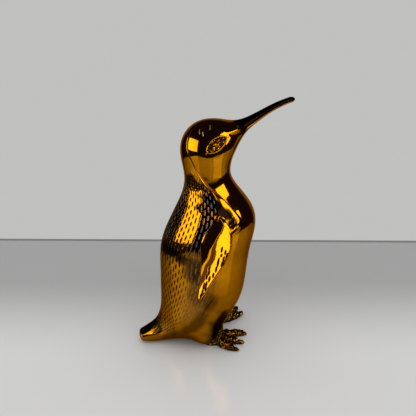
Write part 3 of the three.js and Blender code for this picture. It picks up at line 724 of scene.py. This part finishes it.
def bill_piece():
    rows = np.r_[rows_between([(BILL_JOINT, BILL_STEP), (TRUNK_END, 0)]),
                 TRUNK_END + BILL_CAP * np.sin(BILL_TIP_TURNS)]
    cols = np.linspace(-math.pi, math.pi, BILL_COLUMNS + 1)[:-1]
    t, angle = np.meshgrid(rows, cols, indexing="ij")
    points = skin_point(t, angle)
    normals = skin_normal(np.clip(t, 0, TRUNK_END), angle)
    ahead = unit(skin_point(TRUNK_END + 1, 0.0) - skin_point(TRUNK_END, 0.0))
    lean = np.clip((t - TRUNK_END) / BILL_CAP, 0, 1)[..., None]
    normals = unit(normals * np.sqrt(1 - lean**2 * BILL_ROUNDING) + lean * ahead)
    fade = (np.clip((t - BILL_JOINT) / MOUTH_FADE[0], 0, 1)
            * np.clip((TRUNK_END - t) / MOUTH_FADE[1], 0, 1))
    above_mouth = np.abs(angle) - MOUTH_ANGLE
    cut = bell(above_mouth / MOUTH_WIDTH) * fade
    height = -MOUTH_DEPTH * cut
    rings = points + normals * height[..., None]
    shaded = tilted_normals(points, normals, height).reshape(-1, 3)
    # Painted shade over the top of the bill, above the mouth line.
    layers = {"groove_and_shade": cut.ravel(), "tarnish_and_shade": ramp(above_mouth, *BILL_TOP_SHADE).ravel()}
    return ring_object("bill_skin", rings, ["bill"], shaded, layers)


# Flippers: blades that lie on the shoulder and hang away from the flank towards the tip
FLIPPER = np.array([  # rear edge x, z, leading edge x, z, outer face's stand off the flank at each
    (3.6, 163.7, 9, 159.6, 1.8, 2), (0, 159.5, 12.7, 152.5, 1.8, 2.3),
    (-7, 150.3, 16.4, 144, 2.2, 2.9), (-11.9, 143.7, 16.7, 136.2, 3.6, 3.8),
    (-16.1, 137.1, 15.4, 128.2, 5.5, 5.4), (-18.5, 131.1, 12.4, 121.6, 7.7, 7.3),
    (-19, 122.3, 7.6, 114.9, 10.7, 9.5), (-20, 114.7, 1.8, 108.4, 14.3, 12.1),
    (-21.3, 106.5, -4.8, 101.4, 18.2, 15.6), (-22.8, 98.5, -11.7, 94.1, 22.3, 19.8),
    (-24.5, 91.4, -17.8, 88.2, 26.2, 24.4), (-25.6, 86.5, -22.8, 84.6, 29.8, 28.7),
])
FLIPPER_ROWS, FLIPPER_COLUMNS = 230, 150
BLADE_THICKNESS, BLADE_LEAST, FLIPPER_GAP = 3.6, 0.4, 0.3
ROOT_STAND, ROOT_END = 0.3, 1.4  # share of the stand at the root, row where it is full
TIP_CLOSING, TIP_FLATNESS = 0.35, 0.98  # rows over which the tip closes
RIDGE = [(0, 0.75), (1.4, 0.6), (2.4, 0.44), (3.5, 0.37), (4.5, 0.3), (5.4, 0.2), (11, 0.2)]
RIDGE_ROUNDING = 1
FALL = [(0, 0), (0.5, 0), (1.2, 0.18), (4.4, 0.18), (6, 0), (11, 0)]  # row, slope behind the ridge
BOW = [(0, 0), (0.8, 0), (1.5, 0.1), (3.4, 0.1), (4.6, 0), (11, 0)]  # row, slope ahead of it
BEVEL_WIDTH, BEVEL_ROUNDING = 3.2, 0.5
BEVEL_SLOPE = [(0, 0.3), (4.4, 0.3), (5.6, 0), (11, 0)]
SHARP_REAR = [(0, 0), (4.5, 0), (6, 0.8), (11, 0.8)]  # row, share of the thickness lost at the rear
SHARP_REACH = 8
REAR_ROUNDING = [(0, 2.6), (4.2, 2.6), (5, 0.7), (11, 0.7)]  # row, reach in from the rear edge
LEAD_ROUNDING = 2
RIM_IN, RIM_WIDTH, RIM_ROWS = 1.7, 0.55, (2, 3.5)  # painted shadow line by the front edge
RIM_DEPTH, RIM_SHADE = 0.25, 0.8
# Painted shade along the rear edge of the blade's upper part, standing for a dark reflected band.
REAR_SHADE, REAR_REACH, REAR_ROWS = 0.85, (1.2, 0.4), (4.2, 4.8)
CUT_WIDTH, CUT_LEAN = 2.4, math.radians(18)
CUT_DEPTH, CUT_STAIN, CUT_STRETCH = 0.45, (0.1, 0.4), 1.15
CUTS = [  # row of the table, share of the width from the rear, length before the stretch
    (4.3, 0.66, 5.8), (4.6, 0.8, 5), (4.95, 0.9, 5), (5.1, 0.7, 3.5), (5.5, 0.83, 5), (6.1, 0.93, 6.5),
    (6.05, 0.68, 10), (6.15, 0.86, 6), (6.9, 0.72, 6), (6.95, 0.4, 4.5), (7.6, 0.72, 5), (7.4, 0.45, 5),
    (7.9, 0.4, 5.5), (8.1, 0.6, 6), (8.7, 0.55, 6), (9.0, 0.42, 6.5), (9.2, 0.65, 5), (9.7, 0.5, 6),
    (10.3, 0.5, 5),
]


def either_side(off, rounding):
    """How far off a line is behind it and ahead of it, with a rounded change between the two."""
    return (np.hypot(off, rounding) - off) / 2, (np.hypot(off, rounding) + off) / 2


def edge_drop(distance, rounding, half_thickness):
    """Drop of a rounded edge's face at a distance in from the edge."""
    inward = np.clip(1 - distance / rounding, 0, 1)
    return half_thickness * (1 - np.sqrt(1 - inward**2))


def blade_faces(s, share):
    """Outer and inner face of a blade, and each point's distance in from the rear and lead edge."""
    count = len(FLIPPER)
    rear_x, rear_z, lead_x, lead_z, rear_stand, lead_stand = (
        natural_curve(np.arange(count), column)(s) for column in FLIPPER.T)
    ridge_at, fall, bow, bevel, sharp, rounding = (
        read_table(table, s) for table in (RIDGE, FALL, BOW, BEVEL_SLOPE, SHARP_REAR, REAR_ROUNDING))
    x = rear_x + (lead_x - rear_x) * share
    z = rear_z + (lead_z - rear_z) * share
    width = np.hypot(lead_x - rear_x, lead_z - rear_z)
    from_rear, from_lead = width * share, width * (1 - share)
    behind, ahead = either_side((share - ridge_at) * width, RIDGE_ROUNDING)
    on_bevel, _ = either_side(from_rear - BEVEL_WIDTH, BEVEL_ROUNDING)
    stand = rear_stand + (lead_stand - rear_stand) * share
    stand = stand * (ROOT_STAND + (1 - ROOT_STAND) * ramp(s, 0, ROOT_END))
    stand = stand - fall * behind - bow * ahead * (1 - ahead / (width * (1 - ridge_at)))
    stand = np.maximum(stand - bevel * on_bevel, FLIPPER_GAP + BLADE_LEAST)
    under = np.maximum(FLIPPER_GAP, stand - BLADE_THICKNESS)
    under = under + (stand - under) * sharp * ramp(from_rear, SHARP_REACH, 0)
    closing = np.minimum(1, (count - 1 - s) / TIP_CLOSING)
    half = (stand - under) / 2 * np.sqrt(1 - (1 - closing) ** 2 * TIP_FLATNESS)
    drop = (edge_drop(from_rear, np.minimum(rounding, width / 2), half)
            + edge_drop(from_lead, np.minimum(LEAD_ROUNDING, width / 2), half))
    drop = drop + (stand - under) / 2 - half
    base = flank_stand(x, z)
    outer = np.stack([x, base + stand - drop, z], -1)
    inner = np.stack([x, base + under + drop, z], -1)
    return outer, inner, from_rear, from_lead


def blade_cuts(outer, normals, s, share):
    cut = np.zeros(outer.shape[:2])
    lean = np.array([math.sin(CUT_LEAN), 0, math.cos(CUT_LEAN)])
    for row, where, long in CUTS:
        r, c = int(np.searchsorted(s[:, 0], row)), int(np.searchsorted(share, where))
        way = unit(lean - (lean @ normals[r, c]) * normals[r, c])
        here = gouge(outer, outer[r, c], way, normals[r, c], long * CUT_STRETCH, CUT_WIDTH)
        cut = np.maximum(cut, here)
    return cut


def flipper_piece(word, side):
    s = np.linspace(0, len(FLIPPER) - 1, FLIPPER_ROWS)[:, None]
    share = (1 - np.cos(np.linspace(0, math.pi, FLIPPER_COLUMNS))) / 2
    outer, inner, from_rear, from_lead = blade_faces(s, share)
    normals = unit(np.cross(unit(np.gradient(outer, axis=0)), unit(np.gradient(outer, axis=1))))
    normals *= np.sign(normals[..., 1:2].mean())
    cut = blade_cuts(outer, normals, s, share)
    rim = bell((from_lead - RIM_IN) / RIM_WIDTH) * ramp(s, *RIM_ROWS)
    outer = outer - normals * (CUT_DEPTH * cut + RIM_DEPTH * rim)[..., None]
    # Stroke patina in the cuts, with painted shadow by the front edge and painted shade along the rear.
    patina_and_shade = np.maximum(ramp(cut, *CUT_STAIN), RIM_SHADE * rim)
    rear = REAR_SHADE * ramp(from_rear, *REAR_REACH) * ramp(s, *REAR_ROWS)
    patina_and_shade = np.maximum(patina_and_shade, rear)
    hidden = np.repeat(patina_and_shade[:, :1], FLIPPER_COLUMNS - 2, axis=1)
    ring = np.concatenate([outer, inner[:, -2:0:-1]], axis=1)
    closed = np.concatenate([ring[:, -1:], ring, ring[:, :1]], axis=1)
    shade = unit(np.cross(np.gradient(ring, axis=0), np.gradient(closed, axis=1)[:, 1:-1]))
    shade *= np.sign(shade[:, FLIPPER_COLUMNS // 2, 1].mean())
    ring[..., 1] *= side
    shade[..., 1] *= side
    layers = {"groove_and_shade": np.concatenate([patina_and_shade, hidden], axis=1).ravel()}
    return ring_object(f"{word}_blade", ring, [f"{word}_flipper"], shade.reshape(-1, 3), layers)


# Feet: the cast feet with scutes over the toes, rings round the leg, bumps and wrinkles
FOOT_VOXEL, FOOT_SOFTENING = 0.55, 3
ANKLE_HEIGHT = 3  # of the top part whose middle is the leg's axis
TOES_OUT, TOES_UNDER = (9, 14), (15, 10)  # from the leg's axis outward, and below this height
SCUTE_PITCH, SCUTE_DEPTH, SCUTE_POWER, SCUTE_MIDDLE = 3.4, 0.9, 0.6, 0.7
SCUTE_TURN = 0.3  # how far round to the underside the scutes reach
RING_PITCH, RING_DEPTH, RING_POWER, RING_MIDDLE = 4.2, 0.7, 0.7, 0.6
WARP, WARP_SCALE, WARP_SEED, RING_WARP = 0.8, 9, 21, 1.5
BUMP_DEPTH, BUMPS = 0.7, [(0.6, 5.5, 22), (0.4, 2.9, 23)]  # share, scale and seed
SOLE_HEIGHT = (0.3, 1.8)  # the relief comes in between these heights
TOE_PLUMP, TOE_ENDS = 1.1, (0.7, 0.9)  # rounder toe ends, as shares of the foot's reach
WORN_RELIEF, WORN_SCALE, WORN_SEED, WORN_NOISE = (0.15, 0.45), 11, 24, (-0.5, 0.3)


def remeshed(node):
    """Points, normals and faces of a dense, softened copy of a CAD node, in local millimetres."""
    copy = new_object("remesh_copy", node.data.copy())
    copy.matrix_world = node.matrix_world
    remesh = copy.modifiers.new("remesh", "REMESH")
    remesh.mode = "VOXEL"
    remesh.voxel_size = FOOT_VOXEL * MM
    soften = copy.modifiers.new("soften", "SMOOTH")
    soften.factor, soften.iterations = 0.5, FOOT_SOFTENING
    bpy.context.view_layer.update()
    mesh = bpy.data.meshes.new_from_object(copy.evaluated_get(bpy.context.evaluated_depsgraph_get()))
    mesh.transform(node.matrix_world)
    points, normals = np.zeros((2, len(mesh.vertices) * 3))
    mesh.vertices.foreach_get("co", points)
    mesh.vertices.foreach_get("normal", normals)
    faces = [list(p.vertices) for p in mesh.polygons]
    bpy.data.objects.remove(copy)
    return points.reshape(-1, 3) / MM - [SHIFT_X, 0, 0], normals.reshape(-1, 3), faces


def foot_piece(word):
    points, normals, faces = remeshed(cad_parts[f"{word}_foot"])
    height = points[:, 2]
    ankle = points[height > height.max() - ANKLE_HEIGHT].mean(0)
    out = np.hypot(points[:, 0] - ankle[0], points[:, 1] - ankle[1])
    on_toes = ramp(out, *TOES_OUT) * ramp(height, *TOES_UNDER)
    upward = np.clip(normals[:, 2] + SCUTE_TURN, 0, 1)
    warp = WARP * wobble(points, WARP_SCALE, WARP_SEED)
    scute = np.abs(np.sin((out + warp) * math.pi / SCUTE_PITCH)) ** SCUTE_POWER
    ring = np.abs(np.sin((height + RING_WARP * warp) * math.pi / RING_PITCH)) ** RING_POWER
    relief = (SCUTE_DEPTH * on_toes * upward * (scute - SCUTE_MIDDLE)
              + RING_DEPTH * (1 - on_toes) * (ring - RING_MIDDLE) + BUMP_DEPTH * waves(points, BUMPS))
    off_sole = ramp(height, *SOLE_HEIGHT)
    relief = relief * off_sole
    plump = TOE_PLUMP * ramp(out / out.max(), *TOE_ENDS) * off_sole
    worn = ramp(relief, *WORN_RELIEF) * ramp(wobble(points, WORN_SCALE, WORN_SEED), *WORN_NOISE)
    points = points + normals * (relief + plump)[:, None]
    return make_piece(f"{word}_webbed_foot", points, faces, [f"{word}_foot"],
                      None, {"worn": worn})


# Materials
# The near-black colour below stands for cloudy tarnish and for painted shade.
BRASS, DEEP_BRASS, TARNISH_AND_SHADE_COLOUR = (0.76, 0.305, 0.004), (0.52, 0.167, 0.002), (0.008, 0.003, 0.001)
BRASS_GLANCE = (0.8, 0.5, 0.08)
STROKE_DARK, STROKE_PALE, HIGHLIGHT_PALE = (0.012, 0.009, 0.005), (0.24, 0.225, 0.18), (0.85, 0.7, 0.4)
POLISHED, DULL = 0.07, 0.5
PATINA_DARK, PATINA_BROWN, PATINA_GLANCE = (0.03, 0.008, 0.002), (0.13, 0.06, 0.008), (0.5, 0.3, 0.08)
WORN_GOLD, WORN_COPPER = (0.95, 0.56, 0.05), (0.75, 0.14, 0.01)
COPPER_FROM, COPPER_TO = 0.56, 0.65
PATINA_ROUGH, WORN_ROUGH = 0.16, 0.1


def add_node(tree, kind, inputs=None, **settings):
    """New shader node; each input is set to a value, or linked where it is another's output."""
    new = tree.nodes.new("ShaderNode" + kind)
    for key, value in settings.items():
        setattr(new, key, value)
    for socket, value in (inputs or {}).items():
        if isinstance(value, bpy.types.NodeSocket):
            tree.links.new(value, new.inputs[socket])
        else:
            new.inputs[socket].default_value = value
    return new


def mask(tree, name):
    return add_node(tree, "Attribute", attribute_name=name).outputs["Fac"]


def noise(tree, scale, detail):
    place = add_node(tree, "TexCoord").outputs["Object"]
    inputs = {"Vector": place, "Scale": scale, "Detail": detail}
    return add_node(tree, "TexNoise", inputs).outputs["Fac"]


def blend_colours(tree, share, *colours):
    """From the first colour to the second; a colour is three numbers or a node's output."""
    first, second = (c if isinstance(c, bpy.types.NodeSocket) else (*c, 1) for c in colours)
    return add_node(tree, "Mix", {0: share, 6: first, 7: second}, data_type="RGBA").outputs[2]


def blend_shaders(tree, share, first, second):
    return add_node(tree, "MixShader", {"Fac": share, 1: first, 2: second}).outputs["Shader"]


def calculate(tree, operation, first, second, kind="Math"):
    return add_node(tree, kind, {0: first, 1: second}, operation=operation).outputs["Value"]


def map_range(tree, value, start=0, end=1, low=0, high=1, kind="LINEAR"):
    inputs = {"Value": value, "From Min": start, "From Max": end, "To Min": low, "To Max": high}
    return add_node(tree, "MapRange", inputs, interpolation_type=kind).outputs["Result"]


def new_material(name, surface):
    """Material with the surface that the given function makes in its node tree."""
    material = bpy.data.materials.new(name)
    material.use_nodes = True
    material.node_tree.nodes.clear()
    add_node(material.node_tree, "OutputMaterial", {"Surface": surface(material.node_tree)})
    return material


def metal(tree, colour, roughness, glance):
    return add_node(tree, "BsdfPrincipled", {
        "Metallic": 1.0, "Specular Tint": (*glance, 1), "Base Color": colour, "Roughness": roughness,
    }).outputs["BSDF"]


def polished_surface(tree):
    """Brass whose tone shifts softly; the mesh's layers darken and dull it with tarnish, stroke patina
    and painted shade, and lighten it with painted highlights.
    """
    groove_and_shade, painted_highlight = mask(tree, "groove_and_shade"), mask(tree, "painted_highlight")
    tone = blend_colours(tree, noise(tree, 55, 5), BRASS, DEEP_BRASS)
    # Tarnish and painted shade darken the tone.
    tone = blend_colours(tree, mask(tree, "tarnish_and_shade"), tone, TARNISH_AND_SHADE_COLOUR)
    fill = blend_colours(tree, mask(tree, "pale_fill"), STROKE_DARK, STROKE_PALE)
    tone = blend_colours(tree, groove_and_shade, tone, fill)
    # Painted highlights on the crown: pale, dull brass standing for reflections.
    tone = blend_colours(tree, painted_highlight, tone, HIGHLIGHT_PALE)
    dull = calculate(tree, "MAXIMUM", groove_and_shade, painted_highlight)
    return metal(tree, tone, map_range(tree, dull, low=POLISHED, high=DULL), BRASS_GLANCE)


def patina_surface(tree):
    """Dark brown patina, worn to gold and copper on the high spots."""
    worn = mask(tree, "worn")
    dark = blend_colours(tree, noise(tree, 160, 6), PATINA_DARK, PATINA_BROWN)
    copper = map_range(tree, noise(tree, 75, 2), COPPER_FROM, COPPER_TO)
    bright = blend_colours(tree, copper, WORN_GOLD, WORN_COPPER)
    rough = map_range(tree, worn, low=PATINA_ROUGH, high=WORN_ROUGH)
    return metal(tree, blend_colours(tree, worn, dark, bright), rough, PATINA_GLANCE)


def make_bird():
    polished = new_material("polished_brass", polished_surface)
    patinated = new_material("patinated_brass", patina_surface)
    sides = (("right", -1), ("left", 1))
    bright = make_skins() + [bill_piece()] + [flipper_piece(word, side) for word, side in sides]
    for piece in bright:
        piece.data.materials.append(polished)
    for word, _ in sides:
        foot_piece(word).data.materials.append(patinated)


make_bird()


# Camera: it stands by the bird's right side, a little behind it, and looks slightly down
HEADING = math.radians(12)
CAMERA_BACK, CAMERA_HEIGHT, AIM_HEIGHT = 450, 292, 160
CAMERA_TILT = math.atan((CAMERA_HEIGHT - AIM_HEIGHT) / CAMERA_BACK)
SENSOR = 36
LENS = SENSOR * 415 / 416
forward = Vector((math.sin(HEADING), math.cos(HEADING), 0))
rightward = Vector((math.cos(HEADING), -math.sin(HEADING), 0))


def stage_point(right, ahead, up):
    """Frame point from millimetres along the camera's level axes through the bird's origin."""
    local = rightward * right + forward * ahead + Vector((0, 0, up))
    return Vector(to_frame(np.array(local)))


camera = new_object("camera", bpy.data.cameras.new("camera"))
camera.data.sensor_width = SENSOR
camera.data.lens = LENS
camera.location = stage_point(0, -CAMERA_BACK, CAMERA_HEIGHT)
aim = forward * math.cos(CAMERA_TILT) - Vector((0, 0, math.sin(CAMERA_TILT)))
camera.rotation_euler = aim.to_track_quat("-Z", "Y").to_euler()
bpy.context.scene.camera = camera


# Table: a pale gloss top with painted shade that darkens it away from the front, and a painted shadow
# line along its far edge
TABLE_LEFT, TABLE_RIGHT, TABLE_FRONT = -620, 750, -800
TABLE_END, EDGE_DEPTH = (331, 312), 11  # far edge at the left and right end, and its depth
EDGE_START = [end - EDGE_DEPTH for end in TABLE_END]
# The far colour is painted shade: the top gets darker away from the front.
TABLE_SHADED_FAR, TABLE_NEAR, TABLE_EDGE_SHADOW = (0.45, 0.45, 0.45), (0.82, 0.82, 0.81), (0.24, 0.24, 0.24)
TABLE_FAR_AT, TABLE_NEAR_AT = 150 * MM, -60 * MM
TABLE_ROUGHNESS = 0.12
TABLE_DIMMING = 0.35  # share by which the table looks darker in the metal than to the eye


def table_strip(name, front, back, material):
    """Part of the table top between two lines across it, given where they pass either end."""
    corners = [(TABLE_LEFT, front[0]), (TABLE_RIGHT, front[1]),
               (TABLE_RIGHT, back[1]), (TABLE_LEFT, back[0])]
    mesh = bpy.data.meshes.new(name)
    mesh.from_pydata([tuple(stage_point(*corner, 0)) for corner in corners], [], [(0, 1, 2, 3)])
    mesh.materials.append(material)
    new_object(name, mesh)


def share_along(tree, place, axis, start, end):
    """0 to 1 as a place's or direction's part along an axis goes from start to end."""
    part = calculate(tree, "DOT_PRODUCT", place, tuple(axis), "VectorMath")
    return map_range(tree, part, start, end, kind="SMOOTHSTEP")


def table_surface(tree):
    place = add_node(tree, "NewGeometry").outputs["Position"]
    nearness = share_along(tree, place, forward, TABLE_FAR_AT, TABLE_NEAR_AT)
    tone = blend_colours(tree, nearness, TABLE_SHADED_FAR, TABLE_NEAR)
    shader = add_node(tree, "BsdfPrincipled", {"Base Color": tone, "Roughness": TABLE_ROUGHNESS})
    dark = add_node(tree, "Emission", {"Strength": 0.0})
    glossy = add_node(tree, "LightPath").outputs["Is Glossy Ray"]
    share = calculate(tree, "MULTIPLY", glossy, TABLE_DIMMING)
    return blend_shaders(tree, share, shader.outputs["BSDF"], dark.outputs["Emission"])


# Painted shadow: a dark strip along the table's far edge.
def edge_shadow_surface(tree):
    return add_node(tree, "BsdfDiffuse", {"Color": (*TABLE_EDGE_SHADOW, 1)}).outputs["BSDF"]


pale_table = new_material("pale_table", table_surface)
table_strip("table_top", (TABLE_FRONT, TABLE_FRONT), EDGE_START, pale_table)
table_strip("table_far_edge_shadow", EDGE_START, TABLE_END, new_material("table_edge_shadow", edge_shadow_surface))


# Light: soft panels round the camera's side, which the polished brass mirrors
PANEL_DISTANCE, SEEN_FROM = 1800, 170  # from the bird, and the height that sees the angles below
PANELS = {  # degrees from behind the camera to its right, low and high edge, width; strength
    "panel_left": (-56.5, 3, 36, 48, 2.7),
    "panel_right": (50, 3.5, 34, 40, 3),
    "panel_right_dim": (24.5, 3.5, 34, 11, 0.13),
    "panel_right_strip": (17, 3.5, 34, 4, 1.4),
}


def soft_panel(name, azimuth, low, high, spread, strength):
    data = bpy.data.lights.new(name, "AREA")
    data.shape = "RECTANGLE"
    data.size = 2 * PANEL_DISTANCE * math.tan(math.radians(spread / 2)) * MM
    bottom = SEEN_FROM + PANEL_DISTANCE * math.tan(math.radians(low))
    top = SEEN_FROM + PANEL_DISTANCE * math.tan(math.radians(high))
    data.size_y = (top - bottom) * MM
    data.energy = strength * math.pi * data.size * data.size_y
    light = new_object(name, data)
    turn = math.radians(azimuth)
    right, ahead = PANEL_DISTANCE * math.sin(turn), -PANEL_DISTANCE * math.cos(turn)
    light.location = stage_point(right, ahead, (bottom + top) / 2)
    toward = stage_point(0, 0, (bottom + top) / 2) - light.location
    light.rotation_euler = toward.to_track_quat("-Z", "Y").to_euler()
    light.visible_diffuse = False


for panel, measures in PANELS.items():
    soft_panel(panel, *measures)


# World: a pale wall behind the bird, a dark room elsewhere in the metal, even light on matt faces
BACKDROP, WALL_IN_METAL = (0.53, 0.53, 0.522), (0.28, 0.28, 0.275)
ROOM_IN_METAL, EVEN_LIGHT = (0.010, 0.006, 0.005), (0.85, 0.85, 0.85)
WALL_SPREAD, WALL_TOP = (0.60, 0.80), (0.75, 0.45)  # along the view and upward, as direction shares


def background(tree, colour):
    return add_node(tree, "Background", {"Color": (*colour, 1)}).outputs["Background"]


def world_light():
    world = bpy.data.worlds.new("studio")
    bpy.context.scene.world = world
    world.use_nodes = True
    tree = world.node_tree
    tree.nodes.clear()
    ray = add_node(tree, "LightPath").outputs
    way = add_node(tree, "TexCoord").outputs["Generated"]
    facing = share_along(tree, way, forward, *WALL_SPREAD)
    low = share_along(tree, way, (0, 0, 1), *WALL_TOP)
    both = calculate(tree, "MULTIPLY", facing, low)
    room, wall = background(tree, ROOM_IN_METAL), background(tree, WALL_IN_METAL)
    mirrored = blend_shaders(tree, both, room, wall)
    unseen = blend_shaders(tree, ray["Is Diffuse Ray"], mirrored, background(tree, EVEN_LIGHT))
    seen = blend_shaders(tree, ray["Is Camera Ray"], unseen, background(tree, BACKDROP))
    add_node(tree, "OutputWorld", {"Surface": seen})


world_light()
bpy.context.scene.view_settings.view_transform = "Standard"
